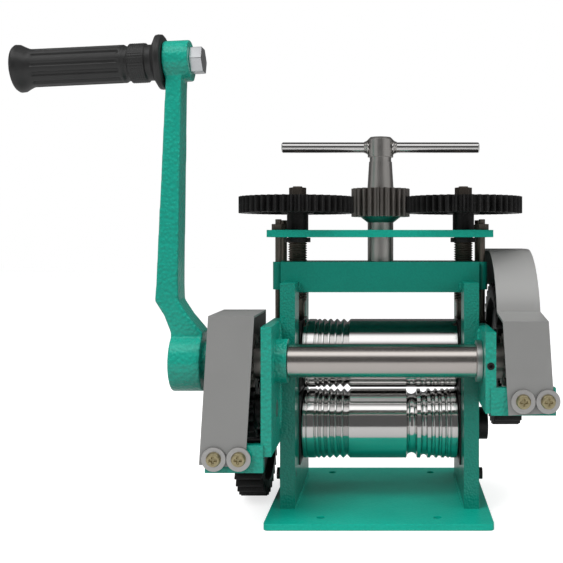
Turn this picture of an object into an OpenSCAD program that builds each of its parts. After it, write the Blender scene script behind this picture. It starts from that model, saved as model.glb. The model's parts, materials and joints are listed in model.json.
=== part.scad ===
// Hand-cranked combination rolling mill, used as a small press.
// Origin: on the underside of the base plate, below the middle of the roll axes.
// +X is to the right of the operator, +Y away from the operator, +Z up. Millimetres.

/* [Base plate] */
// Width of the base plate, side to side
base_w = 174; // [150:1:220]
// Depth of the base plate, front to back
base_d = 163; // [130:1:220]
// How far the middle of the plate lies in front of the rolls
base_ahead = 12; // [0:1:30]
// Thickness of the base plate
base_t = 5; // [3:0.5:12]
// Corner radius of the base plate
base_r = 4; // [1:0.5:15]
// Diameter of the four bench holes
bench_hole_d = 6.5; // [4:0.5:12]
// Distance between bench holes, side to side
bench_dx = 90; // [60:1:120]
// Distance between bench holes, front to back
bench_dy = 130; // [115:1:150]

/* [Frame] */
// Clear distance between the two uprights
frame_gap = 134; // [110:1:170]
// Thickness of each upright
upright_t = 12; // [8:0.5:20]
// Depth of each upright, front to back
upright_d = 112; // [90:1:150]
// Width of the bearing window in each upright
window_w = 56; // [44:1:70]
// Height of the window floor over the base plate
window_floor = 27.5; // [22:0.5:45]
// Height of the crossbar
crossbar_h = 25; // [16:1:40]
// Room between the upper block at rest and the crossbar
screw_room = 24.5; // [12:0.5:40]
// Thickness of the shaft brackets
bracket_t = 8; // [5:0.5:12]

/* [Rolls] */
// Diameter of both rolls
roll_d = 58; // [45:1:80]
// Length of the roll barrels
roll_len = 130; // [100:1:165]
// Gap between the rolls as shown
roll_gap = 2; // [0.5:0.1:5]
// Diameter of the roll journals
journal_d = 30; // [20:1:36]
// Height of each bearing block
block_h = 58; // [50:1:70]
// Diameter of the roller bushes
bush_d = 38; // [34:1:46]

/* [Side gears] */
// Module of the side gears
side_module = 3; // [2:0.25:4]
// Teeth on each roll gear
roll_teeth = 38; // [30:1:48]
// Teeth on each drive pinion
pinion_teeth = 12; // [12:1:16]
// Teeth on the reversing idler
idler_teeth = 13; // [12:1:18]
// Face width of the side gears
side_gear_w = 22; // [12:1:30]
// Height of the drive shaft over the upper roll axis
shaft_rise = 3.5; // [0:0.5:12]
// Diameter of the drive shaft bar
shaft_d = 26; // [22:1:32]

/* [Screw-down] */
// Outside diameter of the screw-down threads
screw_d = 16; // [12:1:18]
// Teeth on each screw gear
screw_teeth = 48; // [40:2:60]
// Teeth on the spindle pinion, an odd number
spindle_teeth = 23; // [19:2:27]
// Height of the lift plate over the crossbar
plate_rise = 20.5; // [14:0.5:30]
// Thickness of the lift plate
plate_t = 6; // [4:0.5:10]
// Depth of the lift plate
plate_d = 60; // [50:1:80]
// Diameter of the tie rods
rod_d = 5.2; // [4:0.1:8]
// Diameter of the spindle
spindle_d = 22; // [18:1:26]
// Length of the T-bar
t_bar_len = 169; // [120:1:220]
// Diameter of the T-bar
t_bar_d = 9; // [6:0.5:12]

/* [Crank] */
// Distance from the drive shaft to the grip
crank_reach = 231; // [150:1:280]
// Length of the grip
grip_len = 115; // [90:1:150]
// Slope of the handle, in degrees down towards its free end
handle_slope = 2.7; // [0:0.1:5]
// Diameter of the grip barrel
grip_d = 29; // [24:0.5:38]
// Depth of the crank arm, front to back
arm_d = 25; // [16:1:32]

/* [Clearances] */
// Radial running clearance of every shaft in its bush
run_fit = 0.05; // [0.02:0.01:0.1]
// Clear gap beside moving faces
side_fit = 0.3; // [0.2:0.05:0.6]
// How much each gear flank is thinned
flank_thin = 0.15; // [0.05:0.05:0.3]
// Thickness of the cover sheet
sheet_t = 1.5; // [1:0.1:3]
// How much wider each cover is than the side gears
cover_room = 12; // [9:1:18]

/* [Hidden] */
$fn = 64;

green = [0.05, 0.50, 0.44];
sheet_grey = [0.62, 0.64, 0.65];
steel = [0.74, 0.75, 0.76];
dark_steel = [0.32, 0.31, 0.30];
oxide = [0.12, 0.12, 0.13];
bronze = [0.66, 0.47, 0.25];
zinc = [0.80, 0.71, 0.42];
bright = [0.86, 0.87, 0.88];
rubber = [0.06, 0.06, 0.06];

// Frame planes
in_x = frame_gap / 2;
out_x = in_x + upright_t;
half_d = upright_d / 2;
half_win = window_w / 2;
floor_z = base_t + window_floor;
leg_screw_y = -half_d + 11;
leg_screw_z = base_t + 25.5;

// Roll axes and blocks
low_z = floor_z + block_h / 2;
up_z = low_z + roll_d + roll_gap;
block_in = roll_len / 2 + 0.6;
block_out = out_x + side_fit;
ledge_out = out_x + 10;
ledge_z = up_z + journal_d / 2 + 2;
block_top = up_z + block_h / 2;
bar_z = block_top + screw_room;
bar_top = bar_z + crossbar_h;
bar_x = out_x + 3;
upright_top = bar_z + 9;

// Side gears
roll_pr = side_module * roll_teeth / 2;
pin_pr = side_module * pinion_teeth / 2;
idl_pr = side_module * idler_teeth / 2;
gear_x0 = out_x + 15.5;
gear_x1 = gear_x0 + side_gear_w;
stub_r = 12;
nut_r = 9;
nut_len = 5.7;
gear_end = gear_x1 + 0.3 + nut_len;
shaft_z = up_z + shaft_rise;
shaft_y = -sqrt(pow(roll_pr + pin_pr, 2) - pow(shaft_rise, 2));
shaft_r = shaft_d / 2;
neck_r = 10;
plate_x = out_x + bracket_t;

// Idler centre: where its two centre distances cross, on the operator's side
idl_a = pin_pr + idl_pr;
idl_b = roll_pr + idl_pr;
gear_span = norm([shaft_y, shaft_z - low_z]);
idl_u = (idl_a * idl_a - idl_b * idl_b + gear_span * gear_span) / (2 * gear_span);
idl_v = sqrt(idl_a * idl_a - idl_u * idl_u);
span_y = -shaft_y / gear_span;
span_z = (low_z - shaft_z) / gear_span;
idl_y = shaft_y + idl_u * span_y + idl_v * span_z;
idl_z = shaft_z + idl_u * span_z - idl_v * span_y;

// Tooth phases, as angles from +Y towards +Z
right_pin_a = atan2(up_z - shaft_z, -shaft_y);
up_gear_a = right_pin_a + 180 + 180 / roll_teeth;
left_pin_a = atan2(idl_z - shaft_z, idl_y - shaft_y);
idl_gear_a = left_pin_a + 180 + 180 / idler_teeth;
idl_low_a = atan2(low_z - idl_z, -idl_y);
low_gear_a = idl_low_a + 180 + 180 / roll_teeth - (idl_gear_a - idl_low_a) * idler_teeth / roll_teeth;

// Covers
cover_w = side_gear_w + cover_room;
cov_x0 = gear_x0 - 2.5;
cov_x1 = cov_x0 + cover_w;
front_y = shaft_y - pin_pr - side_module - 7.1;
left_top = up_z + 40.5;
right_step = up_z + 36.5;
arc_z = up_z + 19.5;
arc_r = 69.5;
left_tab_z = low_z - 15;
right_tab_z = shaft_z - 36.3;
tab_h = 20.4;
hole_up = 11.1;
washer_r = 9;
left_lean = 2.6;
right_lean = 4.2;
left_washer_y = front_y - (left_top - left_tab_z - hole_up + washer_r) * tan(left_lean) - 0.25;
right_washer_y = front_y - (right_step - right_tab_z - hole_up + washer_r) * tan(right_lean) - 0.365;

// Screw-down
screw_x = in_x + 4;
top_module = 2 * screw_x / (screw_teeth + spindle_teeth);
screw_r = screw_d / 2;
lift_z = bar_top + plate_rise;
lift_top = lift_z + plate_t;
screw_gear_z = lift_top + 14.5;
screw_gear_top = screw_gear_z + 14;
rod_x = out_x + 6;
rod_y = 19;
rod_r = rod_d / 2;
pin_z = lift_top + 11.5;
pin_top = pin_z + 24;
spindle_r = spindle_d / 2;
t_bar_z = pin_top + 35.3;
cap_z = pin_top + 27;
spindle_top = cap_z + 17;

// Crank
hub_x = cov_x1 + 3;
boss_x = hub_x + 5;
boss_end = boss_x + 24;
crank_z = shaft_z + crank_reach;
grip_x = boss_end + 6.6;
grip_end = grip_x + grip_len;
eye_x0 = boss_x + 10.6;
eye_x1 = grip_x - side_fit;

function inv(a) = tan(a) * 180 / PI - a;
function polar(r, a) = [r * cos(a), r * sin(a)];

// Points of an involute gear whose first tooth points along +X
function gear_points(m, teeth, pa, steps = 3) =
    let (rp = m * teeth / 2)
    let (rb = rp * cos(pa))
    let (ra = rp + m)
    let (rr = rp - 1.25 * m)
    let (r0 = max(rb, rr))
    let (first = rr < rb ? -1 : 0)
    let (half = 90 / teeth - flank_thin / rp * 180 / PI + inv(pa))
    let (rad = [for (i = [first:steps]) i < 0 ? rr : r0 + (ra - r0) * i / steps])
    let (off = [for (r = rad) half - inv(acos(min(1, rb / max(r, r0))))])
    [for (k = [0:teeth - 1]) each concat(
        [for (i = [0:len(rad) - 1]) polar(rad[i], k * 360 / teeth - off[i])],
        [for (i = [len(rad) - 1:-1:0]) polar(rad[i], k * 360 / teeth + off[i])])];

// Box between two corners, whichever way round they come
module slab(x0, x1, y0, y1, z0, z1) {
    translate([min(x0, x1), min(y0, y1), min(z0, z1)])
        cube([abs(x1 - x0), abs(y1 - y0), abs(z1 - z0)]);
}

module xcyl(x0, x1, r, y = 0, z = 0, n = 64) {
    translate([min(x0, x1), y, z])
        rotate([0, 90, 0])
            cylinder(h = abs(x1 - x0), r = r, $fn = n);
}

module xcone(x0, x1, r0, r1, y = 0, z = 0) {
    translate([x0, y, z])
        rotate([0, x1 > x0 ? 90 : -90, 0])
            cylinder(h = abs(x1 - x0), r1 = r0, r2 = r1);
}

module zcyl(z0, z1, r, x = 0, y = 0, n = 64) {
    translate([x, y, z0])
        cylinder(h = z1 - z0, r = r, $fn = n);
}

module zcone(z0, z1, r0, r1, x = 0, y = 0) {
    translate([x, y, z0])
        cylinder(h = z1 - z0, r1 = r0, r2 = r1);
}

module ycyl(y0, y1, r, x = 0, z = 0, n = 64) {
    translate([x, y0, z])
        rotate([-90, 0, 0])
            cylinder(h = y1 - y0, r = r, $fn = n);
}

// Flat shape drawn in Y and Z, made solid from x0 to x1
module yz(x0, x1) {
    translate([min(x0, x1), 0, 0])
        rotate([90, 0, 90])
            linear_extrude(abs(x1 - x0))
                children();
}

// Slopes the handle about the middle of the crank's eye
module sloped() {
    eye_mid = (eye_x0 + eye_x1) / 2;
    translate([-eye_mid, 0, crank_z])
        rotate([0, -handle_slope, 0])
            translate([eye_mid, 0, -crank_z])
                children();
}

module ring_recess(x0, x1, ro, ri) {
    difference() {
        xcyl(x0, x1, ro);
        xcyl(min(x0, x1) - 1, max(x0, x1) + 1, ri);
    }
}

module base_plate() {
    hx = base_w / 2;
    hy = base_d / 2;
    color(green)
        difference() {
            translate([0, -base_ahead, 0])
                linear_extrude(base_t)
                    union() {
                        square([base_w, base_d - 2 * base_r], center = true);
                        square([base_w - 2 * base_r, base_d], center = true);
                        for (sx = [-1, 1], sy = [-1, 1])
                            translate([sx * (hx - base_r), sy * (hy - base_r)])
                                circle(r = base_r);
                    }
            for (sx = [-1, 1], sy = [-1, 1])
                zcyl(-1, base_t + 1, bench_hole_d / 2, sx * bench_dx / 2, sy * bench_dy / 2 - base_ahead);
        }
}

module upright(s) {
    color(green)
        difference() {
            slab(s * in_x, s * out_x, -half_d, half_d, base_t, upright_top);
            slab(s * (in_x - 1), s * (out_x + 1), -half_win, half_win, floor_z, upright_top + 1);
            xcyl(s * (in_x - 1), s * (out_x + 1), 3 + run_fit, leg_screw_y, leg_screw_z);
        }
}

module left_upright() {
    upright(-1);
}

module right_upright() {
    upright(1);
}

module crossbar() {
    color(green)
        difference() {
            union() {
                slab(-bar_x, bar_x, -half_win, half_win, bar_z, bar_top);
                for (sx = [-1, 1], sy = [-1, 1])
                    zcyl(bar_z + 2, bar_top, 4.5, sx * rod_x, sy * rod_y);
            }
            for (sx = [-1, 1])
                zcyl(bar_z - 1, bar_top + 1, screw_r + run_fit, sx * screw_x, 0);
            for (sx = [-1, 1], sy = [-1, 1])
                zcyl(bar_z - 1, bar_top + 1, rod_r + side_fit, sx * rod_x, sy * rod_y);
            zcyl(bar_top - 18.5, bar_top + 1, 8 + run_fit);
        }
}

module left_bracket() {
    color(green)
        difference() {
            union() {
                slab(-out_x, -plate_x, -30, front_y - 1, left_tab_z + 11.5, shaft_z + 29);
                xcyl(-out_x, -out_x + 9, 17, shaft_y, shaft_z);
                slab(-plate_x + 2, -cov_x1 - 2, front_y - 2.6, front_y + 5, left_tab_z, left_tab_z + tab_h);
            }
            xcyl(-plate_x - 1, -out_x + 10, 12.5 + run_fit, shaft_y, shaft_z);
            xcyl(-plate_x - 1, -out_x + 1, 7 + run_fit, idl_y, idl_z);
            for (x = [-cov_x1 + 5.3, -cov_x1 + 23.6])
                ycyl(front_y - 4, front_y + 6, 2.5 + run_fit, x, left_tab_z + hole_up);
        }
}

module right_bracket() {
    color(green)
        difference() {
            union() {
                slab(out_x, plate_x, -30, front_y - 1, right_tab_z + 1.3, shaft_z + 25);
                slab(plate_x - 4, cov_x1 + 5, front_y - 1.9, front_y + 5, right_tab_z, right_tab_z + tab_h);
            }
            xcyl(plate_x + 1, out_x - 1, 12.5 + run_fit, shaft_y, shaft_z);
            ycyl(front_y - 3, shaft_y - 5, 2.8 + run_fit, out_x + bracket_t / 2, shaft_z);
            for (x = [cov_x1 - 19.8, cov_x1 - 1.6])
                ycyl(front_y - 4, front_y + 6, 2.5 + run_fit, x, right_tab_z + hole_up);
        }
}

// Leaning, slightly flared front flap of a cover
module front_flap(s, top, len, lean, flare) {
    mid = s * (cov_x0 + cov_x1) / 2;
    difference() {
        translate([mid, front_y, top])
            rotate([-lean, 0, 0])
                rotate([0, -s * flare, 0])
                    translate([-cover_w / 2, 0, -len])
                        cube([cover_w, sheet_t, len + 3]);
        slab(mid - 30, mid + 30, front_y - 10, front_y + 10, top, top + 10);
        for (k = [0:1]) {
            x = s < 0 ? -cov_x1 + 5.3 + 18.3 * k : cov_x1 - 19.8 + 18.2 * k;
            z = (s < 0 ? left_tab_z : right_tab_z) + hole_up;
            ycyl(front_y - 12, front_y + 4, 2.8, x, z);
        }
    }
}

module left_cover() {
    rear = shaft_y + 33;
    color(sheet_grey)
        difference() {
            union() {
                yz(-cov_x0, -cov_x1)
                    polygon([[rear, shaft_z], [rear, left_top], [front_y, left_top],
                        [front_y, left_top - sheet_t], [rear - sheet_t, left_top - sheet_t],
                        [rear - sheet_t, shaft_z]]);
                front_flap(-1, left_top, left_top - left_tab_z - 5.5, left_lean, 3);
                yz(-cov_x1, -cov_x1 + sheet_t)
                    polygon([[rear, shaft_z - 13], [rear, left_top], [front_y, left_top],
                        [front_y - 3, shaft_z - 50], [shaft_y, shaft_z - 50]]);
            }
            xcyl(-cov_x1 - 1, -cov_x1 + 3, 12, shaft_y, shaft_z);
        }
}

module right_cover() {
    a1 = 162.3;
    step_y = arc_r * cos(a1);
    steps = 16;
    arc_out = [for (i = [0:steps]) let (a = 90 + (a1 - 90) * i / steps)
        [arc_r * cos(a), arc_z + arc_r * sin(a)]];
    arc_in = [for (i = [steps:-1:0]) let (a = 90 + (a1 - 90) * i / steps)
        [(arc_r - sheet_t) * cos(a), arc_z + (arc_r - sheet_t) * sin(a)]];
    top = arc_z + arc_r;
    color(sheet_grey)
        difference() {
            union() {
                yz(cov_x0, cov_x1)
                    polygon(concat([[36, top - 32], [36, top]], arc_out,
                        [[front_y, right_step], [front_y, right_step - sheet_t],
                        [step_y + 1, arc_z + 21 - sheet_t]],
                        arc_in, [[36 - sheet_t, top - sheet_t], [36 - sheet_t, top - 32]]));
                front_flap(1, right_step, right_step - right_tab_z - 1.3, right_lean, 3);
                yz(cov_x1 - sheet_t, cov_x1)
                    polygon(concat([[36, up_z], [36, top]], arc_out,
                        [[front_y, right_step], [front_y - 2.5, right_tab_z + tab_h + 1.6],
                        [-24, right_tab_z + tab_h + 1.6]]));
            }
        }
}

// Four cover screws: two on the left flap, two on the right
module at_cover_screws() {
    translate([-cov_x1 + 5.3, left_washer_y, left_tab_z + hole_up])
        children();
    translate([-cov_x1 + 23.6, left_washer_y, left_tab_z + hole_up])
        children();
    translate([cov_x1 - 19.8, right_washer_y, right_tab_z + hole_up])
        children();
    translate([cov_x1 - 1.6, right_washer_y, right_tab_z + hole_up])
        children();
}

module cover_screws() {
    color(zinc)
        at_cover_screws()
            union() {
                ycyl(-4.6, -1.5, 5.5);
                ycyl(-1.5, 11.5, 2.5);
            }
}

module cover_washers() {
    color(steel)
        at_cover_screws()
            difference() {
                ycyl(-1.5, 0, washer_r);
                ycyl(-2, 1, 2.5 + run_fit);
            }
}

module bracket_set_screw() {
    color(oxide)
        difference() {
            ycyl(front_y - 1.3, shaft_y - 12.55, 2.8, out_x + bracket_t / 2, shaft_z);
            ycyl(front_y - 2, front_y + 1.5, 1.5, out_x + bracket_t / 2, shaft_z, 6);
        }
}

module frame_screws() {
    color(oxide)
        for (s = [-1, 1])
            difference() {
                union() {
                    xcyl(s * out_x, s * (out_x + 3.5), 4.6, leg_screw_y, leg_screw_z);
                    xcyl(s * in_x, s * out_x, 3, leg_screw_y, leg_screw_z);
                }
                xcyl(s * (out_x + 1.2), s * (out_x + 4), 2.3, leg_screw_y, leg_screw_z, 6);
            }
}

module lower_block(s) {
    color(oxide)
        difference() {
            slab(s * block_in, s * block_out, -half_win, half_win, floor_z, floor_z + block_h);
            xcyl(s * (block_in - 1), s * (block_out + 1), bush_d / 2 + run_fit, 0, low_z);
        }
}

module lower_left_block() {
    lower_block(-1);
}

module lower_right_block() {
    lower_block(1);
}

module bush_pair(z) {
    color(bronze)
        for (s = [-1, 1])
            difference() {
                xcyl(s * block_in, s * block_out, bush_d / 2, 0, z);
                xcyl(s * (block_in - 1), s * (block_out + 1), journal_d / 2 + run_fit, 0, z);
            }
}

module lower_bushes() {
    bush_pair(low_z);
}

module shaft_bushes() {
    color(bronze)
        for (k = [[-plate_x, -out_x + 9], [out_x, plate_x]])
            difference() {
                xcyl(k[0], k[1], 12.5, shaft_y, shaft_z);
                xcyl(k[0] - 1, k[1] + 1, neck_r + run_fit, shaft_y, shaft_z);
            }
}

module idler_axle() {
    color(steel)
        union() {
            xcyl(-gear_x1 - 0.4, -out_x, 7, idl_y, idl_z);
            xcyl(-gear_x1 - 1.8, -gear_x1 - 0.4, 6, idl_y, idl_z);
            xcyl(-gear_x1 - 3.2, -gear_x1 - 1.8, 7, idl_y, idl_z);
        }
}

module idler_clip() {
    color(dark_steel)
        difference() {
            xcyl(-gear_x1 - 1.7, -gear_x1 - 0.5, 9.5, idl_y, idl_z);
            xcyl(-gear_x1 - 3, -gear_x1 + 1, 6 + run_fit, idl_y, idl_z);
            slab(-gear_x1 - 3, -gear_x1 + 1, idl_y - 4, idl_y + 4, idl_z - 12, idl_z - 4);
        }
}

module drive_shaft() {
    key_x = gear_x0 + 2;
    color(bright)
        difference() {
            union() {
                xcyl(-out_x + 9.3, out_x - 4.5, shaft_r, shaft_y, shaft_z);
                xcyl(-hub_x, gear_x1 + 1.5, neck_r, shaft_y, shaft_z);
                xcyl(-boss_end + 0.2, -hub_x, 8, shaft_y, shaft_z);
                xcyl(-boss_end - 3, -boss_end + 0.2, 4, shaft_y, shaft_z);
            }
            for (s = [-1, 1])
                slab(s * key_x, s * (key_x + 18), shaft_y - 2.5, shaft_y + 2.5, shaft_z + 7.5, shaft_z + 12);
        }
}

module shaft_collar() {
    color(steel)
        difference() {
            xcyl(out_x - 4.5, out_x - 0.3, 16, shaft_y, shaft_z);
            xcyl(out_x - 6, out_x + 1, neck_r + run_fit, shaft_y, shaft_z);
        }
}

module drive_pinion(s, a) {
    color(steel)
        difference() {
            union() {
                yz(s * gear_x0, s * gear_x1)
                    translate([shaft_y, shaft_z])
                        rotate(a)
                            polygon(gear_points(side_module, pinion_teeth, 25));
                xcyl(s * (plate_x + side_fit), s * gear_x0, 13.5, shaft_y, shaft_z);
            }
            xcyl(s * (plate_x - 1), s * (gear_x1 + 1), neck_r + run_fit, shaft_y, shaft_z);
            slab(s * (gear_x0 + 2), s * (gear_x1 + 1), shaft_y - 2.55, shaft_y + 2.55, shaft_z,
                shaft_z + 12.05);
        }
}

module left_pinion() {
    drive_pinion(-1, left_pin_a);
}

module right_pinion() {
    drive_pinion(1, right_pin_a);
}

module pinion_keys() {
    key_x = gear_x0 + 2;
    color(dark_steel)
        for (s = [-1, 1])
            slab(s * (key_x + 0.1), s * (key_x + 17.9), shaft_y - 2.45, shaft_y + 2.45,
                shaft_z + 7.5, shaft_z + 11.95);
}

module crank_arm() {
    jog = boss_end + 12;
    color(green)
        difference() {
            union() {
                xcyl(-boss_x, -hub_x, 14, shaft_y, shaft_z);
                xcyl(-boss_end, -boss_x, 23, shaft_y, shaft_z);
                translate([0, shaft_y + arm_d / 2, 0])
                    rotate([90, 0, 0])
                        linear_extrude(arm_d)
                            polygon([[-boss_x, shaft_z + 12], [-boss_end, shaft_z + 12],
                                [-boss_end, shaft_z + 23], [-jog, shaft_z + 47],
                                [-boss_end - 3.5, crank_z - 6], [-boss_x - 16, crank_z - 6],
                                [-boss_x - 18.7, shaft_z + 47], [-boss_x, shaft_z + 23]]);
                sloped()
                    xcyl(-eye_x1, -eye_x0, 15.8, shaft_y, crank_z);
            }
            xcyl(-boss_end - 1, -hub_x + 1, 8 + run_fit, shaft_y, shaft_z);
            sloped()
                xcyl(-eye_x1 - 1.3, -eye_x0 + 1.6, 6 + run_fit, shaft_y, crank_z);
        }
}

module crank_nut() {
    color(oxide)
        difference() {
            xcyl(-boss_end - 3, -boss_end, 6, shaft_y, shaft_z);
            xcyl(-boss_end - 4, -boss_end + 1, 4 + run_fit, shaft_y, shaft_z);
        }
}

module handle_bolt() {
    color(zinc)
        sloped()
            union() {
                translate([-eye_x0, shaft_y, crank_z])
                    rotate([0, 90, 0])
                        rotate(30)
                            cylinder(h = 9.5, r = 10.97, $fn = 6);
                xcyl(-grip_end + 0.3, -eye_x0, 6, shaft_y, crank_z);
                xcyl(-grip_end - 4, -grip_end + 0.3, 4, shaft_y, crank_z);
            }
}

module handle_end_nut() {
    color(bright)
        sloped()
            difference() {
                xcyl(-grip_end - 4.2, -grip_end - side_fit, 5.8, shaft_y, crank_z);
                xcyl(-grip_end - 5, -grip_end + 1, 4 + run_fit, shaft_y, crank_z);
            }
}

module grip() {
    gr = grip_d / 2;
    color(rubber)
        sloped()
            difference() {
                union() {
                    xcyl(-grip_x - 5, -grip_x, gr + 6.5, shaft_y, crank_z);
                    xcone(-grip_x - 5, -grip_x - 9, gr + 6.5, gr, shaft_y, crank_z);
                    xcyl(-grip_end + 12, -grip_x - 9, gr, shaft_y, crank_z);
                    xcone(-grip_end + 12, -grip_end + 4, gr, gr + 3.7, shaft_y, crank_z);
                    xcyl(-grip_end, -grip_end + 4, gr + 3.7, shaft_y, crank_z);
                    for (i = [0:8])
                        translate([0, shaft_y, crank_z])
                            rotate([i * 40, 0, 0])
                                slab(-grip_end + 16, -grip_x - 30, -3.2, 3.2, gr - 3, gr + 0.7);
                }
                xcyl(-grip_end - 1, -grip_x + 1, 6 + 0.1, shaft_y, crank_z);
            }
}

module idler_gear() {
    color(oxide)
        difference() {
            union() {
                yz(-gear_x0, -gear_x1)
                    translate([idl_y, idl_z])
                        rotate(idl_gear_a)
                            polygon(gear_points(side_module, idler_teeth, 25));
                xcyl(-gear_x0, -plate_x - side_fit, 11, idl_y, idl_z);
            }
            xcyl(-gear_x1 - 1, -plate_x + 1, 7 + run_fit, idl_y, idl_z);
        }
}

// Half the outline of a roll: [radius, x], its grooves cut in, from left to right
v_grooves = [[-61.3, 0.75], [-54, 1.1], [-50.1, 1.5], [-45.3, 1.9], [-39.9, 2.2], [-34.3, 2.45],
    [-28.3, 2.7]];
round_grooves = [[26.4, 4.4], [36.65, 2.85], [44.1, 1.9], [49.85, 1.65], [55.15, 1.15], [58.95, 0.65]];
groove_scale = roll_len / 130;
function v_line(r) = [for (g = v_grooves) each [[r, (g[0] - g[1]) * groove_scale],
    [r - g[1], g[0] * groove_scale], [r, (g[0] + g[1]) * groove_scale]]];
function round_line(r) = [for (g = round_grooves) each [for (i = [0:8])
    [r - g[1] * sin(22.5 * i), (g[0] - g[1] * cos(22.5 * i)) * groove_scale]]];

module roll(s, z, grooves) {
    r = roll_d / 2;
    h = roll_len / 2;
    line = concat([[0, -h], [r - 0.6, -h], [r, -h + 0.6]], v_line(r), grooves,
        [[r, h - 0.6], [r - 0.6, h], [0, h]]);
    color(bright)
        difference() {
            union() {
                translate([0, 0, z])
                    rotate([0, 90, 0])
                        rotate_extrude($fn = 96)
                            polygon(line);
                xcyl(s * h, s * gear_x0, journal_d / 2, 0, z);
                xcyl(s * gear_x0, s * (gear_x1 + 0.3), stub_r, 0, z);
                xcyl(s * (gear_x1 + 0.3), s * gear_end, nut_r, 0, z);
                xcyl(-s * h, -s * (block_out + 0.3), journal_d / 2, 0, z);
                xcyl(-s * (block_out + 0.3), -s * (out_x + 12), 9, 0, z);
            }
            slab(s * (gear_x0 + 2), s * (gear_x0 + 20), -3, 3, z + 9.5, z + 14);
        }
}

module lower_roll() {
    roll(-1, low_z, round_line(roll_d / 2));
}

module upper_roll() {
    roll(1, up_z, []);
}

module roll_gear(s, z, a) {
    web = roll_pr - 1.25 * side_module - 6;
    color(oxide)
        difference() {
            yz(s * gear_x0, s * gear_x1)
                translate([0, z])
                    rotate(a)
                        polygon(gear_points(side_module, roll_teeth, 25));
            translate([0, 0, z])
                ring_recess(s * (gear_x1 - 5), s * (gear_x1 + 1), web, 20);
            translate([0, 0, z])
                ring_recess(s * (gear_x0 - 1), s * (gear_x0 + 5), web, 20);
            xcyl(s * (gear_x0 - 1), s * (gear_x1 + 1), stub_r + run_fit, 0, z);
            slab(s * (gear_x0 - 1), s * (gear_x1 + 1), -3.05, 3.05, z, z + 14.6);
        }
}

module lower_roll_gear() {
    roll_gear(-1, low_z, low_gear_a);
}

module upper_roll_gear() {
    roll_gear(1, up_z, up_gear_a);
}

module gear_key(s, z) {
    color(dark_steel)
        slab(s * (gear_x0 + 2.1), s * (gear_x0 + 19.9), -2.95, 2.95, z + 9.5, z + 14.5);
}

module lower_gear_key() {
    gear_key(-1, low_z);
}

module upper_gear_key() {
    gear_key(1, up_z);
}

module gear_nut(s, z) {
    color(dark_steel)
        difference() {
            xcyl(s * gear_x1, s * gear_end, 15, 0, z, 6);
            xcyl(s * (gear_x1 - 1), s * (gear_x1 + 0.35), stub_r + run_fit, 0, z);
            xcyl(s * (gear_x1 + 0.3), s * (gear_end + 1), nut_r + run_fit, 0, z);
        }
}

module lower_gear_nut() {
    gear_nut(-1, low_z);
}

module upper_gear_nut() {
    gear_nut(1, up_z);
}

module end_collar(s, z) {
    color(oxide)
        difference() {
            xcyl(s * (block_out + 0.3), s * (out_x + 12), 13.5, 0, z);
            xcyl(s * (block_out - 1), s * (out_x + 13), 9 + run_fit, 0, z);
        }
}

module lower_end_collar() {
    end_collar(1, low_z);
}

module upper_end_collar() {
    end_collar(-1, up_z);
}

module lift_plate() {
    edge_x = rod_x + 8.3;
    color(green)
        difference() {
            slab(-edge_x, edge_x, -plate_d / 2, plate_d / 2, lift_z, lift_top);
            zcyl(lift_z - 1, lift_top + 1, spindle_r + 0.4);
            for (s = [-1, 1])
                zcyl(lift_z - 1, lift_top + 1, screw_r + 0.4, s * screw_x, 0);
            for (sx = [-1, 1], sy = [-1, 1])
                zcyl(lift_z - 1, lift_top + 1, rod_r + run_fit, sx * rod_x, sy * rod_y);
        }
}

module tie_rods() {
    color(dark_steel)
        for (sx = [-1, 1], sy = [-1, 1])
            zcyl(ledge_z + 0.3, lift_top + 9, rod_r, sx * rod_x, sy * rod_y);
}

module tie_rod_nuts() {
    color(dark_steel)
        for (sx = [-1, 1], sy = [-1, 1])
            difference() {
                zcyl(lift_top, lift_top + 5, 5.77, sx * rod_x, sy * rod_y, 6);
                zcyl(lift_top - 1, lift_top + 6, rod_r + run_fit, sx * rod_x, sy * rod_y);
            }
}

module upper_block(s) {
    w = half_win - side_fit;
    color(oxide)
        difference() {
            union() {
                slab(s * block_in, s * block_out, -w, w, up_z - block_h / 2, block_top);
                slab(s * block_out, s * ledge_out, -24, 24, ledge_z, block_top);
            }
            xcyl(s * (block_in - 1), s * (block_out + 1), bush_d / 2 + run_fit, 0, up_z);
            for (sy = [-1, 1])
                zcyl(ledge_z - 1, block_top + 1, rod_r + run_fit, s * rod_x, sy * rod_y);
        }
}

module upper_left_block() {
    upper_block(-1);
}

module upper_right_block() {
    upper_block(1);
}

module upper_bushes() {
    bush_pair(up_z);
}

module screw(s) {
    x = s * screw_x;
    color(steel)
        union() {
            zcyl(block_top + side_fit, block_top + 13.5, screw_r - 2, x);
            zcone(block_top + 13.5, block_top + 17, screw_r - 2, screw_r, x);
            zcyl(block_top + 17, lift_top + side_fit, screw_r, x);
            zcyl(lift_top + side_fit, screw_gear_top, screw_r - 1, x);
            zcyl(screw_gear_top, screw_gear_top + 9, 4, x);
        }
}

module left_screw() {
    screw(-1);
}

module right_screw() {
    screw(1);
}

module screw_gear(s, a) {
    rim = top_module * screw_teeth / 2 - 1.25 * top_module - 4;
    color(oxide)
        translate([s * screw_x, 0, 0])
            difference() {
                union() {
                    translate([0, 0, screw_gear_z])
                        linear_extrude(14)
                            rotate(a)
                                polygon(gear_points(top_module, screw_teeth, 20));
                    zcyl(lift_top + side_fit, screw_gear_z, 9.15);
                }
                difference() {
                    zcyl(screw_gear_z - 1, screw_gear_z + 5, rim);
                    zcyl(screw_gear_z - 2, screw_gear_z + 6, 14);
                }
                zcyl(lift_top - 1, screw_gear_top + 1, screw_r - 1 + run_fit);
            }
}

module left_screw_gear() {
    screw_gear(-1, 0);
}

module right_screw_gear() {
    screw_gear(1, 180 + 180 / screw_teeth);
}

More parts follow.
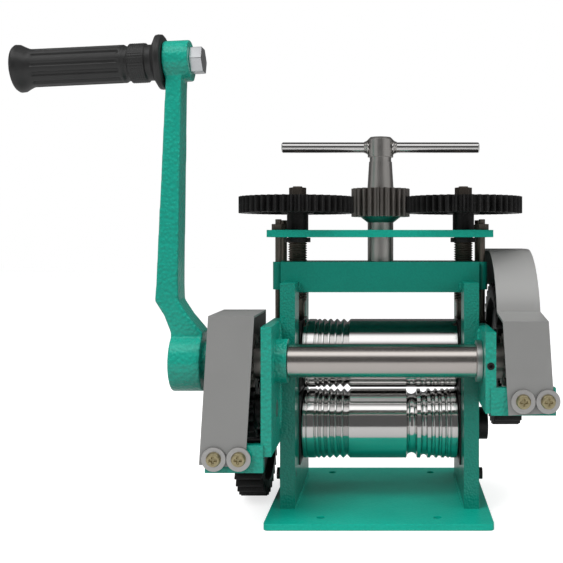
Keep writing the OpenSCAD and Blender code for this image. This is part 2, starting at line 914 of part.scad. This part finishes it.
module screw_gear_nut(s) {
    color(steel)
        difference() {
            zcyl(screw_gear_top, screw_gear_top + 8, 7.5, s * screw_x, 0, 6);
            zcyl(screw_gear_top - 1, screw_gear_top + 9, 4 + run_fit, s * screw_x);
        }
}

module left_screw_nut() {
    screw_gear_nut(-1);
}

module right_screw_nut() {
    screw_gear_nut(1);
}

module thrust_washer(s) {
    color(oxide)
        difference() {
            zcyl(lift_z - 4.3, lift_z - side_fit, 11, s * screw_x);
            zcyl(lift_z - 5, lift_z + 1, screw_r + run_fit, s * screw_x);
        }
}

module left_thrust_washer() {
    thrust_washer(-1);
}

module right_thrust_washer() {
    thrust_washer(1);
}

module spindle() {
    color(steel)
        difference() {
            union() {
                zcyl(bar_top - 18.2, bar_top + 0.3, 8);
                zcyl(bar_top + 0.3, pin_z - 5, spindle_r);
                zcone(pin_z - 5, pin_z, spindle_r, 17.5);
                zcyl(pin_z, pin_top, 9);
                zcone(pin_top, pin_top + 23, 11.2, 9.8);
                zcyl(pin_top + 23, cap_z, 9.2);
                zcyl(cap_z, spindle_top - 2, 10.9);
                zcone(spindle_top - 2, spindle_top, 10.9, 8.9);
            }
            xcyl(-20, 20, t_bar_d / 2 + run_fit, 0, t_bar_z);
        }
}

module spindle_pinion() {
    color(steel)
        difference() {
            translate([0, 0, pin_z])
                linear_extrude(24)
                    polygon(gear_points(top_module, spindle_teeth, 20));
            zcyl(pin_z - 1, pin_top + 1, 9 + run_fit);
        }
}

module t_bar() {
    color(bright)
        union() {
            xcyl(-t_bar_len / 2 + 0.8, t_bar_len / 2 - 0.8, t_bar_d / 2, 0, t_bar_z);
            for (s = [-1, 1])
                xcone(s * (t_bar_len / 2 - 0.8), s * t_bar_len / 2, t_bar_d / 2, t_bar_d / 2 - 0.8, 0, t_bar_z);
        }
}

base_plate();
left_upright();
right_upright();
crossbar();
left_bracket();
right_bracket();
left_cover();
right_cover();
cover_screws();
cover_washers();
bracket_set_screw();
frame_screws();
lower_left_block();
lower_right_block();
lower_bushes();
shaft_bushes();
idler_axle();
idler_clip();
drive_shaft();
shaft_collar();
left_pinion();
right_pinion();
pinion_keys();
crank_arm();
crank_nut();
handle_bolt();
handle_end_nut();
grip();
idler_gear();
lower_roll();
lower_roll_gear();
lower_gear_key();
lower_gear_nut();
lower_end_collar();
upper_roll();
upper_roll_gear();
upper_gear_key();
upper_gear_nut();
upper_end_collar();
lift_plate();
tie_rods();
tie_rod_nuts();
upper_left_block();
upper_right_block();
upper_bushes();
left_screw();
right_screw();
left_screw_gear();
right_screw_gear();
left_screw_nut();
right_screw_nut();
left_thrust_washer();
right_thrust_washer();
spindle();
spindle_pinion();
t_bar();
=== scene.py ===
"""Looks of the hand-cranked combination rolling mill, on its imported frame. Metres, row frame."""

import json
import math

import bpy
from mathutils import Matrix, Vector


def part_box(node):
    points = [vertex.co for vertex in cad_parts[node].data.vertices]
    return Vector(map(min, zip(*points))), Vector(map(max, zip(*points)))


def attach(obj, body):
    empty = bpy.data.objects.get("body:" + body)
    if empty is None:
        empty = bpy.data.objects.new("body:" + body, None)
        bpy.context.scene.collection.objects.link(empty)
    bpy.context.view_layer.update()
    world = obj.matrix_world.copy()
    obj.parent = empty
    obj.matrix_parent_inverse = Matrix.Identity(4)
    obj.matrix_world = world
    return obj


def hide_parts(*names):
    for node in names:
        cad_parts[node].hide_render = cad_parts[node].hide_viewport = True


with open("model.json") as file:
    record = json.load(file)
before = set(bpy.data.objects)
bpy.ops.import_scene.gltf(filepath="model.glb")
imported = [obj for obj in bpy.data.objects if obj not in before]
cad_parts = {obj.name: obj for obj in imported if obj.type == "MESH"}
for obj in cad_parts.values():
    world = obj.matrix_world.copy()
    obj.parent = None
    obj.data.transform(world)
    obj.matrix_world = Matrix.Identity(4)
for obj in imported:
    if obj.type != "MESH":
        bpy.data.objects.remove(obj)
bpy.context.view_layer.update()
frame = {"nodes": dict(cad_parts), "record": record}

MM = 0.001
nodes = frame["nodes"]
slot_of = {part["node"]: part["material_slot"] for part in frame["record"]["subparts"]}


joint_of = {joint["name"]: joint for joint in frame["record"]["behaviour"]["joints"]}


def middle(node):
    low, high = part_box(node)
    return (low + high) / 2


# ---------------------------------------------------------------- shader writing


class Value:
    """A shader socket that takes part in Python arithmetic through Math nodes."""

    def __init__(self, finish, socket):
        self.finish = finish
        self.socket = socket

    def _math(self, operation, *values):
        return self.finish.node("ShaderNodeMath", {"operation": operation}, dict(enumerate(values)))

    def __add__(self, other):
        return self._math("ADD", self, other)

    def __sub__(self, other):
        return self._math("SUBTRACT", self, other)

    def __rsub__(self, other):
        return self._math("SUBTRACT", other, self)

    def __mul__(self, other):
        return self._math("MULTIPLY", self, other)

    __radd__ = __add__
    __rmul__ = __mul__

    def size(self):
        return self._math("ABSOLUTE", self)

    def above(self, edge, soft):
        """0 below the edge, 1 above it, over a soft width."""
        settings = {"interpolation_type": "SMOOTHSTEP"}
        sockets = {"Value": self, "From Min": edge - soft, "From Max": edge + soft}
        return self.finish.node("ShaderNodeMapRange", settings, sockets)


class Graph:
    """An empty node tree, and the one way that nodes are added to it."""

    def __init__(self, owner):
        owner.use_nodes = True
        self.tree = owner.node_tree
        self.tree.nodes.clear()

    def node(self, kind, settings, sockets, output=0):
        made = self.tree.nodes.new(kind)
        for key, value in settings.items():
            setattr(made, key, value)
        for key, value in sockets.items():
            if isinstance(value, Value):
                self.tree.links.new(value.socket, made.inputs[key])
            else:
                made.inputs[key].default_value = value
        return None if output is None else Value(self, made.outputs[output])


class Finish(Graph):
    """One material: a Principled shader, and the few nodes that vary it."""

    def __init__(self, name, **base):
        self.material = bpy.data.materials.new(name)
        super().__init__(self.material)
        self.shader = self.tree.nodes.new("ShaderNodeBsdfPrincipled")
        output = self.tree.nodes.new("ShaderNodeOutputMaterial")
        self.tree.links.new(self.shader.outputs[0], output.inputs["Surface"])
        self.place = self.node("ShaderNodeTexCoord", {}, {}, "Object")
        for socket, value in base.items():
            self.shader.inputs[socket.replace("_", " ")].default_value = value

    def stretch(self, x, y, z):
        """The place on the piece, scaled along each axis."""
        return self.node("ShaderNodeVectorMath", {"operation": "MULTIPLY"},
                         {0: self.place, 1: (x, y, z)})

    def noise(self, where, detail=3.0, roughness=0.5):
        return self.node("ShaderNodeTexNoise", {},
                         {"Vector": where, "Scale": 1.0, "Detail": detail, "Roughness": roughness})

    def cells(self, where, smooth=0.6):
        return self.node("ShaderNodeTexVoronoi", {"feature": "SMOOTH_F1"},
                         {"Vector": where, "Scale": 1.0, "Smoothness": smooth})

    def colour(self, mask, low, high):
        mixed = self.node("ShaderNodeMix", {"data_type": "RGBA"},
                          {0: mask, 6: (*low, 1), 7: (*high, 1)}, 2)
        self.tree.links.new(mixed.socket, self.shader.inputs["Base Color"])

    def rough(self, value):
        self.tree.links.new(value.socket, self.shader.inputs["Roughness"])

    def bump(self, height, depth, strength=1.0):
        bumped = self.node("ShaderNodeBump", {},
                           {"Height": height, "Distance": depth, "Strength": strength})
        self.tree.links.new(bumped.socket, self.shader.inputs["Normal"])


# ---------------------------------------------------------------- finishes

TEAL_LIGHT = (0.004, 0.300, 0.220)
TEAL_DARK = (0.002, 0.200, 0.148)


def green_paint(name, pebble_size, pebble_depth, shade=1.0, coat_weight=0.12):
    """Enamel over cast or cut steel, pebbled to the size and depth given; the fourth argument scales
    the whole colour, above 1 for painted light and below 1 for painted shade.
    """
    paint = Finish(name, Specular_IOR_Level=0.2, Coat_Weight=coat_weight, Coat_Roughness=0.14)
    grain = 1 / pebble_size
    pebbles = paint.cells(paint.stretch(grain, grain, grain))
    drift = paint.noise(paint.stretch(28, 28, 28))
    fine = paint.noise(paint.stretch(1400, 1400, 1400), 2)
    # Both tones are scaled by the fourth argument, which makes a lighter or darker copy of the same
    # green: painted light or painted shade.
    light = tuple(shade * c for c in TEAL_LIGHT)
    dark = tuple(shade * c for c in TEAL_DARK)
    paint.colour(pebbles * 0.45 + drift * 0.55, light, dark)
    paint.rough(0.26 + drift * 0.16 + fine * 0.05)
    paint.bump(fine * 0.12 - pebbles, pebble_depth)
    return paint.material


def machined(name, colour, roughness, lines, depth=0.00002, wear=0.25, metallic=1.0):
    """Bare metal with tool marks; lines holds how closely they repeat along each axis."""
    metal = Finish(name, Metallic=metallic)
    marks = metal.noise(metal.stretch(*lines), 4, 0.65)
    smudge = metal.noise(metal.stretch(45, 45, 45), 3)
    darker = tuple(c * (1 - wear) for c in colour)
    metal.colour(marks * 0.5 + smudge * 0.5, darker, colour)
    metal.rough(roughness * 0.6 + marks * roughness * 0.5 + smudge * roughness * 0.4)
    metal.bump(marks, depth)
    return metal.material


def black_oxide():
    """Oiled black oxide: near black, a little brown, with brighter rubbed flecks."""
    oxide = Finish("black_oxide", Metallic=0.75)
    cloud = oxide.noise(oxide.stretch(70, 70, 70), 4)
    fleck = oxide.noise(oxide.stretch(900, 900, 900), 2)
    rubbed = fleck.above(0.66, 0.06)
    oxide.colour(cloud * 0.6 + rubbed * 0.5, (0.012, 0.012, 0.013), (0.060, 0.058, 0.056))
    oxide.rough(0.30 + cloud * 0.25)
    oxide.bump(fleck, 0.00004)
    return oxide.material


def grip_rubber():
    """Moulded black plastic, satin, with a fine grain."""
    rubber = Finish("grip_black", Specular_IOR_Level=0.55)
    grain = rubber.noise(rubber.stretch(2200, 2200, 2200), 2)
    cloud = rubber.noise(rubber.stretch(40, 40, 40), 2)
    rubber.colour(cloud, (0.006, 0.006, 0.006), (0.018, 0.018, 0.018))
    rubber.rough(0.34 + cloud * 0.14)
    rubber.bump(grain, 0.00005)
    return rubber.material


STEEL = (0.62, 0.61, 0.60)
ring_x = (2600, 6, 6)
ring_z = (6, 6, 2600)
ring_any = (900, 900, 900)

finishes = {
    "green_paint": green_paint("green_paint", 0.0016, 0.00010),
    # The base plate's copy of the green is 1.35 times as light: painted light on the plate, which the
    # mill above it shades.
    "plate_green_painted_light": green_paint("plate_green_painted_light", 0.0016, 0.00010, 1.35),
    # The uprights' copy of the green is 0.66 times as bright: painted shade on the same paint, with
    # deeper pebbles.
    "pebbled_green_painted_shade": green_paint("pebbled_green_painted_shade", 0.0019, 0.00050, 0.66, 0.4),
    "hammered_green": green_paint("hammered_green", 0.0026, 0.00090, 0.96, 0.6),
    # The crossbar's copy of the green is 0.62 times as bright: painted shade on the same paint.
    "crossbar_green_painted_shade": green_paint("crossbar_green_painted_shade", 0.0016, 0.00010, 0.62),
    "cover_grey": machined("cover_grey", (0.26, 0.26, 0.255), 0.40, (9, 2200, 9), 0.000012, 0.10, 0.35),
    "turned_steel": machined("turned_steel", STEEL, 0.34, ring_any, 0.00002),
    "turned_spindle": machined("turned_spindle", (0.60, 0.58, 0.555), 0.30, ring_z),
    "bar_steel": machined("bar_steel", (0.20, 0.17, 0.145), 0.46, ring_z, 0.00003),
    "ground_shaft": machined("ground_shaft", (0.60, 0.56, 0.53), 0.22, ring_x, 0.000008, 0.12),
    "polished_steel": machined("polished_steel", (0.72, 0.71, 0.70), 0.10, ring_x, 0.000004, 0.10),
    "milled_steel": machined("milled_steel", (0.30, 0.28, 0.26), 0.40, (6, 6, 700), 0.00004),
    "zinc_plate": machined("zinc_plate", (0.52, 0.45, 0.27), 0.34, ring_any, 0.00001, 0.22),
    "bright_zinc": machined("bright_zinc", (0.70, 0.71, 0.73), 0.28, ring_any, 0.00001, 0.2),
    "bronze": machined("bronze", (0.55, 0.36, 0.17), 0.32, ring_x),
    "black_oxide": black_oxide(),
    "grip_black": grip_rubber(),
}

special_finish = {
    # The base plate takes the lighter copy of the green: painted light.
    "base_plate": "plate_green_painted_light",
    # The uprights take a darker copy of the green: painted shade.
    "left_upright": "pebbled_green_painted_shade",
    "right_upright": "pebbled_green_painted_shade",
    "left_bracket": "hammered_green",
    "right_bracket": "hammered_green",
    # The crossbar takes a darker copy of the green: painted shade.
    "crossbar": "crossbar_green_painted_shade",
    "drive_shaft": "ground_shaft",
    "spindle": "turned_spindle",
    "spindle_pinion": "milled_steel",
    "left_screw_nut": "bar_steel",
    "right_screw_nut": "bar_steel",
    "left_pinion": "milled_steel",
    "right_pinion": "milled_steel",
    "handle_bolt": "bright_zinc",
    "cover_washers": "turned_steel",
}


def coat(piece, finish):
    """Gives a piece one finish over every slot it has."""
    piece.data.materials.clear()
    piece.data.materials.append(finishes[finish])
    for polygon in piece.data.polygons:
        polygon.material_index = 0


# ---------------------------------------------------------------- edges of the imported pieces

# Broken-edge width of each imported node, in millimetres; the rest get the last one
edge_widths = {
    "base_plate": 0.8, "left_upright": 0.7, "right_upright": 0.7, "crossbar": 0.8,
    "left_bracket": 0.8, "right_bracket": 0.8, "lift_plate": 0.7,
    "left_cover": 0.55, "right_cover": 0.55, "handle_bolt": 0.6,
    "left_screw_gear": 0.3, "right_screw_gear": 0.3, "spindle_pinion": 0.3,
    "lower_roll_gear": 0.35, "upper_roll_gear": 0.35, "idler_gear": 0.3,
    "left_pinion": 0.3, "right_pinion": 0.3, "lower_roll": 0.12, "upper_roll": 0.12,
}
COMMON_EDGE = 0.35
FLAT_ANGLE = math.radians(0.5)
EDGE_ANGLE = math.radians(32)
CREASE_ANGLE = math.radians(36)


def break_edges(piece, width_mm):
    """Welds the faces together and rounds every sharp edge, as a file or a press would."""
    weld = piece.modifiers.new("joined_faces", "WELD")
    weld.merge_threshold = 1e-6
    whole = piece.modifiers.new("whole_faces", "DECIMATE")
    whole.decimate_type = "DISSOLVE"
    whole.angle_limit = FLAT_ANGLE
    bevel = piece.modifiers.new("broken_edges", "BEVEL")
    bevel.width = width_mm * MM
    bevel.segments = 2
    bevel.limit_method = "ANGLE"
    bevel.angle_limit = EDGE_ANGLE
    bevel.use_clamp_overlap = True
    bevel.miter_outer = "MITER_ARC"
    crease = piece.modifiers.new("creases", "EDGE_SPLIT")
    crease.split_angle = CREASE_ANGLE
    crease.use_edge_sharp = False
    even = piece.modifiers.new("even_shading", "WEIGHTED_NORMAL")
    even.weight = 80


for name, node in nodes.items():
    coat(node, special_finish.get(name, slot_of[name]))
    break_edges(node, edge_widths.get(name, COMMON_EDGE))


# ---------------------------------------------------------------- shaping tools


def make(name, points, faces, finish, smooth=True):
    mesh = bpy.data.meshes.new(name)
    mesh.from_pydata([tuple(p) for p in points], [], faces)
    mesh.validate()
    piece = bpy.data.objects.new(name, mesh)
    bpy.context.scene.collection.objects.link(piece)
    mesh.polygons.foreach_set("use_smooth", [smooth] * len(mesh.polygons))
    mesh.materials.append(finishes[finish])
    return piece


def turned(centre, axis, stations, radius, around=64):
    """Points and faces of a closed lathe shape along X, Y or Z; radius(along, angle) in metres."""
    along = "XYZ".index(axis)
    first, second = [k for k in range(3) if k != along]
    points, faces = [], []
    for s in stations:
        for k in range(around):
            angle = 2 * math.pi * k / around
            r = radius(s, angle)
            point = [0.0, 0.0, 0.0]
            point[along] = s
            point[first] = centre[first] + r * math.cos(angle)
            point[second] = centre[second] + r * math.sin(angle)
            points.append(point)
    flip = axis == "Y"
    for row in range(len(stations) - 1):
        for k in range(around):
            a = row * around + k
            b = row * around + (k + 1) % around
            quad = (a, b, b + around, a + around)
            faces.append(quad[::-1] if flip else quad)
    bottom = tuple(range(around))
    top = tuple(range((len(stations) - 1) * around, len(stations) * around))
    faces.append(bottom if flip else bottom[::-1])
    faces.append(top[::-1] if flip else top)
    return points, faces


def profile(corners):
    """A radius that follows (along, radius) corners in millimetres, straight between them."""
    def at(s, angle=0.0):
        s = s / MM
        for (s0, r0), (s1, r1) in zip(corners, corners[1:]):
            if s <= s1 + 1e-6:
                return MM * (r0 + (r1 - r0) * min(1, max(0, (s - s0) / (s1 - s0))))
        return MM * corners[-1][1]
    return at


def steps(start, end, step):
    count = max(1, round((end - start) / step))
    return [start + (end - start) * k / count for k in range(count + 1)]


def smoothstep(low, high, value):
    t = min(1, max(0, (value - low) / (high - low)))
    return t * t * (3 - 2 * t)


# ---------------------------------------------------------------- screw-down screws

THREAD_PITCH = 2.0 * MM
THREAD_DEPTH = 1.15 * MM


def threaded_screw(side):
    """The screw with its thread cut, from the spigot to the stud on top of the gear."""
    node = f"{side}_screw"
    low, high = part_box(node)
    centre = middle(node)
    outer = (high.x - low.x) / 2
    gear_low, gear_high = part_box(f"{side}_screw_gear")
    spigot, seat, stud = outer - 2 * MM, outer - 1 * MM, 4 * MM
    plain_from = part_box("lift_plate")[0].z - 4.5 * MM
    spigot_end = low.z + 13.2 * MM
    thread_start = spigot_end + 3.5 * MM

    def radius(z, angle):
        if z < spigot_end:
            return spigot
        if z < thread_start:
            return spigot + (outer - spigot) * (z - spigot_end) / (thread_start - spigot_end)
        if z > gear_high.z:
            return stud
        if z > gear_low.z:
            return seat
        if z > plain_from:
            return outer
        turn = (z / THREAD_PITCH - angle / (2 * math.pi)) % 1
        return outer - THREAD_DEPTH * smoothstep(0.08, 0.5, abs(turn - 0.5))

    levels = [low.z, spigot_end - 1e-5, spigot_end]
    levels += steps(thread_start, plain_from, THREAD_PITCH / 8)
    levels += [plain_from + 1e-5, gear_low.z, gear_low.z + 1e-5]
    levels += [gear_high.z, gear_high.z + 1e-5, high.z - 0.6 * MM, high.z]
    points, faces = turned(centre, "Z", levels, radius, 40)
    piece = make(f"{side}_threaded_screw", points, faces, "bar_steel")
    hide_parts(node)
    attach(piece, f"{side}_screw_set")


for side in ("left", "right"):
    threaded_screw(side)


# ---------------------------------------------------------------- grip

handle_origin = Vector(joint_of["grip_spin"]["pos_m"])
handle_axis = Vector(joint_of["grip_spin"]["axis"]).normalized()
handle_slope = Vector((1, 0, 0)).rotation_difference(handle_axis).to_matrix()
grip_points = [vertex.co - handle_origin for vertex in nodes["grip"].data.vertices]
grip_start = min(point.dot(handle_axis) for point in grip_points)
grip_stop = max(point.dot(handle_axis) for point in grip_points)


def handle_turned(stations, radius, around):
    """A lathe shape along the sloping handle; stations are counted from the middle of the eye."""
    points, faces = turned((0, 0, 0), "X", stations, radius, around)
    return [handle_origin + handle_slope @ Vector(point) for point in points], faces


def moulded_grip():
    """Bell end, ribbed barrel with sunk flutes, knurled neck band and the flange by the arm."""
    length = (grip_stop - grip_start) / MM
    rim = max((point - handle_axis * point.dot(handle_axis)).length for point in grip_points) / MM
    barrel = 14.5
    outline = profile([
        (0, 13.5), (0.8, 17.2), (2.2, 18.2), (5, 18.0), (8, 16.4), (11, 15.0), (13, barrel),
        (length - 31, barrel), (length - 29, barrel - 1.2), (length - 27, barrel - 1.2),
        (length - 26, barrel + 0.4), (length - 14, barrel + 0.4), (length - 13, barrel - 0.8),
        (length - 9, barrel - 0.8), (length - 6.5, rim - 3), (length - 5, rim - 0.3),
        (length - 3.5, rim), (length - 1, rim - 0.2), (length, rim - 1.5)])
    flute_count = 12

    def radius(x, angle):
        s = x - grip_start
        r = outline(s)
        mm = s / MM
        if 14 < mm < length - 32:
            ends = smoothstep(14, 17, mm) * smoothstep(length - 32, length - 35, mm)
            across = abs((angle * flute_count / (2 * math.pi)) % 1 - 0.5)
            r -= 1.3 * MM * ends * smoothstep(0.28, 0.34, across)
        if length - 26 < mm < length - 14:
            weave = math.sin(angle * 22 + mm * 1.9) * math.sin(angle * 22 - mm * 1.9)
            r += 0.32 * MM * weave
        return r

    stations = [0, 0.8, 1.5, 2.2, 3.5, 5, 6.5, 8, 9.5, 11, 12, 13]
    stations += steps(14, length - 32, 0.45) + steps(length - 31, length - 9, 0.5)
    stations += steps(length - 8, length, 0.5)
    points, faces = handle_turned([grip_start + s * MM for s in stations], radius, 160)
    piece = make("moulded_grip", points, faces, "grip_black")
    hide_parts("grip")
    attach(piece, "handle_grip")


moulded_grip()


# ---------------------------------------------------------------- crank arm

def cast_crank():
    """The arm and its two bosses, run together and softened as a casting is."""
    shaft = middle("shaft_bushes")
    reach = handle_origin.z - shaft.z
    hub_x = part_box("crank_arm")[1].x
    boss_x = hub_x - 5 * MM
    boss_end = boss_x - 24 * MM
    jog_x = boss_end - 12 * MM
    half_depth = 12.2 * MM
    hub_radius, boss_radius, eye_radius = 14 * MM, 23 * MM, 15.8 * MM
    outline = [
        (boss_x, 10), (boss_end, 10), (boss_end, 23), (boss_end - 5 * MM, 36), (jog_x, 47),
        (jog_x + 1 * MM, 60), (boss_end - 3.5 * MM, reach / MM), (boss_x - 16 * MM, reach / MM),
        (boss_x - 18.7 * MM, 60), (boss_x - 18.2 * MM, 47), (boss_x - 11 * MM, 36), (boss_x, 23)]
    count = len(outline)
    points, faces = [], []

    def add(more_points, more_faces):
        start = len(points)
        points.extend(more_points)
        faces.extend(tuple(start + k for k in face) for face in more_faces)

    arm = []
    for y in (-half_depth, half_depth):
        for x, up in outline:
            narrow = 1 - 0.14 * smoothstep(40, 220, up)
            arm.append((x, shaft.y + y * narrow, shaft.z + up * MM))
    arm_faces = [tuple(range(count)), tuple(range(2 * count - 1, count - 1, -1))]
    for k in range(count):
        after = (k + 1) % count
        arm_faces.append((k, k + count, after + count, after))
    add(arm, arm_faces)

    def drum(x0, x1, radius):
        add(*turned(shaft, "X", [x0, x1], lambda s, a: radius, 56))

    drum(boss_end, boss_x, boss_radius)
    drum(boss_x - 1 * MM, hub_x, hub_radius)
    eye_half = -grip_stop - 0.3 * MM
    add(*handle_turned([-eye_half, eye_half], lambda s, a: eye_radius, 56))
    piece = make("cast_crank_arm", points, faces, "hammered_green")
    fuse = piece.modifiers.new("one_casting", "REMESH")
    fuse.mode = "VOXEL"
    fuse.voxel_size = 0.9 * MM
    fuse.use_smooth_shade = True
    soften = piece.modifiers.new("cast_corners", "SMOOTH")
    soften.factor = 0.5
    soften.iterations = 7
    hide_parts("crank_arm")
    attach(piece, "drive")


cast_crank()


# ---------------------------------------------------------------- cover screws

HEAD_HEIGHT = 3.1 * MM
CROSS_DEPTH = 1.7 * MM


def cross_head(index, x, y, z, radius):
    """A pan head with a pressed cross, facing the operator."""
    around, rings = 72, 18
    points, faces = [], []
    for ring in range(rings + 1):
        t = ring / rings
        for k in range(around):
            angle = 2 * math.pi * k / around
            r = radius * math.sin(t * math.pi / 2)
            u, v = abs(r * math.cos(angle)), abs(r * math.sin(angle))
            dome = HEAD_HEIGHT * (1 - smoothstep(0.55, 1.0, t) * 0.75) if t < 1 else 0.0
            arm_u = 1 - smoothstep(0.55 * MM, 0.95 * MM, v)
            arm_v = 1 - smoothstep(0.55 * MM, 0.95 * MM, u)
            reach = 1 - smoothstep(2.3 * MM, 3.1 * MM, max(u, v))
            sunk = CROSS_DEPTH * max(arm_u, arm_v) * reach
            points.append((x + r * math.cos(angle), y - dome + sunk, z + r * math.sin(angle)))
    for ring in range(rings):
        for k in range(around):
            a = ring * around + k
            b = ring * around + (k + 1) % around
            faces.append((a, b, b + around, a + around))
    last = rings * around
    faces.append(tuple(last + k for k in range(around))[::-1])
    piece = make(f"cover_screw_head_{index}", points, faces, "zinc_plate")
    joined = piece.modifiers.new("joined_middle", "WELD")
    joined.merge_threshold = 1e-6
    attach(piece, "frame")
    return piece


def cover_screw_heads():
    """One pressed head over each cover screw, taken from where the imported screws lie."""
    apart = 3 * MM
    clusters = []
    for vertex in sorted(nodes["cover_screws"].data.vertices, key=lambda v: v.co.x):
        if clusters and vertex.co.x - clusters[-1][-1].x < apart:
            clusters[-1].append(vertex.co)
        else:
            clusters.append([vertex.co])
    for index, cluster in enumerate(clusters):
        x = (min(p.x for p in cluster) + max(p.x for p in cluster)) / 2
        z = (min(p.z for p in cluster) + max(p.z for p in cluster)) / 2
        radius = (max(p.z for p in cluster) - min(p.z for p in cluster)) / 2
        y = min(p.y for p in cluster) + HEAD_HEIGHT
        cross_head(index, x, y, z, radius)
    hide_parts("cover_screws")


cover_screw_heads()


# ---------------------------------------------------------------- weld beads

def weld_bead(name, start, end, radius, finish="green_paint"):
    """A rippled bead laid in a corner, from start to end."""
    start, end = Vector(start), Vector(end)
    run = (end - start).length
    way = (end - start).normalized()
    side = way.orthogonal().normalized()
    other = way.cross(side)
    rows, around = max(6, int(run / (0.8 * MM))), 12
    points, faces = [], []
    for row in range(rows + 1):
        s = run * row / rows
        ripple = 1 + 0.14 * math.sin(s / MM * 2.4) + 0.06 * math.sin(s / MM * 0.9)
        taper = math.sqrt(max(0.05, 1 - (2 * row / rows - 1) ** 6))
        for k in range(around):
            angle = 2 * math.pi * k / around
            r = radius * ripple * taper
            points.append(start + way * s + side * r * math.cos(angle) + other * r * math.sin(angle))
    for row in range(rows):
        for k in range(around):
            a = row * around + k
            b = row * around + (k + 1) % around
            faces.append((a, b, b + around, a + around))
    faces.append(tuple(range(around))[::-1])
    faces.append(tuple(range(rows * around, (rows + 1) * around)))
    piece = make(name, points, faces, finish)
    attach(piece, "frame")


def frame_welds():
    bar_low, bar_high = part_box("crossbar")
    base_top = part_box("base_plate")[1].z
    for side, sign in (("left", -1), ("right", 1)):
        low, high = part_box(f"{side}_upright")
        inner = low.x if sign > 0 else high.x
        outer = high.x if sign > 0 else low.x
        for front, y in (("front", bar_low.y), ("rear", bar_high.y)):
            # The crossbar welds take the crossbar's darker copy of the green: painted shade.
            weld_bead(f"{side}_bar_weld_{front}", (inner, y, bar_low.z + 1 * MM),
                      (inner, y, high.z - 0.5 * MM), 2.2 * MM, "crossbar_green_painted_shade")
        for where, x in (("inner", inner), ("outer", outer)):
            weld_bead(f"{side}_foot_weld_{where}", (x, low.y + 3 * MM, base_top),
                      (x, high.y - 3 * MM, base_top), 1.7 * MM)
        plate_low, plate_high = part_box(f"{side}_bracket")
        weld_bead(f"{side}_bracket_weld", (outer, low.y, plate_low.z + 22 * MM),
                  (outer, low.y, plate_high.z - 2 * MM), 1.8 * MM, "hammered_green")


frame_welds()


# ---------------------------------------------------------------- T-bar welds

def t_bar_welds():
    bar = middle("t_bar")
    reach = 10.7 * MM
    for name, sign in (("left", -1), ("right", 1)):
        corners = profile([(0, 6.4), (1.6, 5.3), (3.4, 4.6)])
        stations = [0, 0.8 * MM, 1.6 * MM, 2.6 * MM, 3.4 * MM]
        points, faces = turned(Vector((0, bar.y, bar.z)), "X", stations,
                               lambda s, a: corners(s) * (1 + 0.05 * math.sin(5 * a)), 36)
        points = [(sign * (reach + p[0]) + bar.x, p[1], p[2]) for p in points]
        if sign < 0:
            faces = [face[::-1] for face in faces]
        piece = make(f"t_bar_weld_{name}", points, faces, "turned_spindle")
        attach(piece, "press_spindle")


t_bar_welds()


# ---------------------------------------------------------------- floor, light, camera

def plain_floor():
    size = 6.0
    corners = [(-size, -size, 0), (size, -size, 0), (size, size, 0), (-size, size, 0)]
    paper = Finish("floor_paper", Roughness=0.8, Emission_Strength=0.72)
    paper.shader.inputs["Base Color"].default_value = (0.44, 0.44, 0.44, 1)
    seen = paper.node("ShaderNodeLightPath", {}, {}, "Is Camera Ray")
    glow = paper.node("ShaderNodeMix", {"data_type": "RGBA"},
                      {0: seen, 6: (0, 0, 0, 1), 7: (1, 1, 1, 1)}, 2)
    paper.tree.links.new(glow.socket, paper.shader.inputs["Emission Color"])
    mesh = bpy.data.meshes.new("floor")
    mesh.from_pydata(corners, [], [(0, 1, 2, 3)])
    mesh.materials.append(paper.material)
    floor = bpy.data.objects.new("floor", mesh)
    bpy.context.scene.collection.objects.link(floor)
    floor.location.z = -0.2 * MM


def lamp(name, place, target, width, height, power, tint=(1, 1, 1)):
    light = bpy.data.lights.new(name, "AREA")
    light.shape = "RECTANGLE"
    light.size, light.size_y = width, height
    light.energy = power
    light.color = tint
    holder = bpy.data.objects.new(name, light)
    bpy.context.scene.collection.objects.link(holder)
    holder.location = place
    holder.visible_glossy = False
    holder.rotation_euler = (Vector(target) - Vector(place)).to_track_quat("-Z", "Y").to_euler()


def studio():
    """A white room to the camera; what the metal mirrors is dim, with a bright sky to the front."""
    world = bpy.data.worlds.new("studio")
    bpy.context.scene.world = world
    room = Graph(world)
    way = room.node("ShaderNodeTexCoord", {}, {}, "Generated")
    x, y, z = (room.node("ShaderNodeSeparateXYZ", {}, {0: way}, axis) for axis in "XYZ")
    front = 1 - y.above(0.12, 0.15)
    sky = z.above(0.66, 0.10) * (1 - z.above(0.94, 0.04)) * 1.35
    sides = x.size().above(0.45, 0.20) * (1 - z.size().above(0.35, 0.2)) * 0.40
    mirrored = (sky + sides) * front + 0.11
    ray = room.node("ShaderNodeLightPath", {}, {}, "Is Glossy Ray")
    to_camera = room.node("ShaderNodeLightPath", {}, {}, "Is Camera Ray")
    soft = 0.62 + to_camera * 0.38
    level = soft + ray * (mirrored - soft)
    light = room.node("ShaderNodeBackground", {}, {"Color": level, "Strength": 1.0})
    room.node("ShaderNodeOutputWorld", {}, {"Surface": light}, None)
    aim = (0, 0, 0.15)
    lamp("key", (-0.9, -1.1, 1.3), aim, 0.9, 0.9, 22)
    lamp("fill", (1.3, -1.0, 0.5), aim, 0.7, 1.0, 9)
    lamp("top", (0.1, -0.1, 1.6), aim, 1.2, 0.8, 16)


def set_camera():
    """Level camera in front of the mill, a little right of its middle, with the frame shifted."""
    data = bpy.data.cameras.new("front_camera")
    data.sensor_width = 36
    data.lens = 55.95
    data.shift_x = -0.198
    data.shift_y = -0.0755
    data.clip_start, data.clip_end = 0.05, 20
    camera = bpy.data.objects.new("front_camera", data)
    bpy.context.scene.collection.objects.link(camera)
    camera.location = (0.0107, -0.750, 0.219)
    camera.rotation_euler = (math.radians(90), 0, 0)
    bpy.context.scene.camera = camera


plain_floor()
studio()
set_camera()
bpy.context.scene.view_settings.view_transform = "Standard"
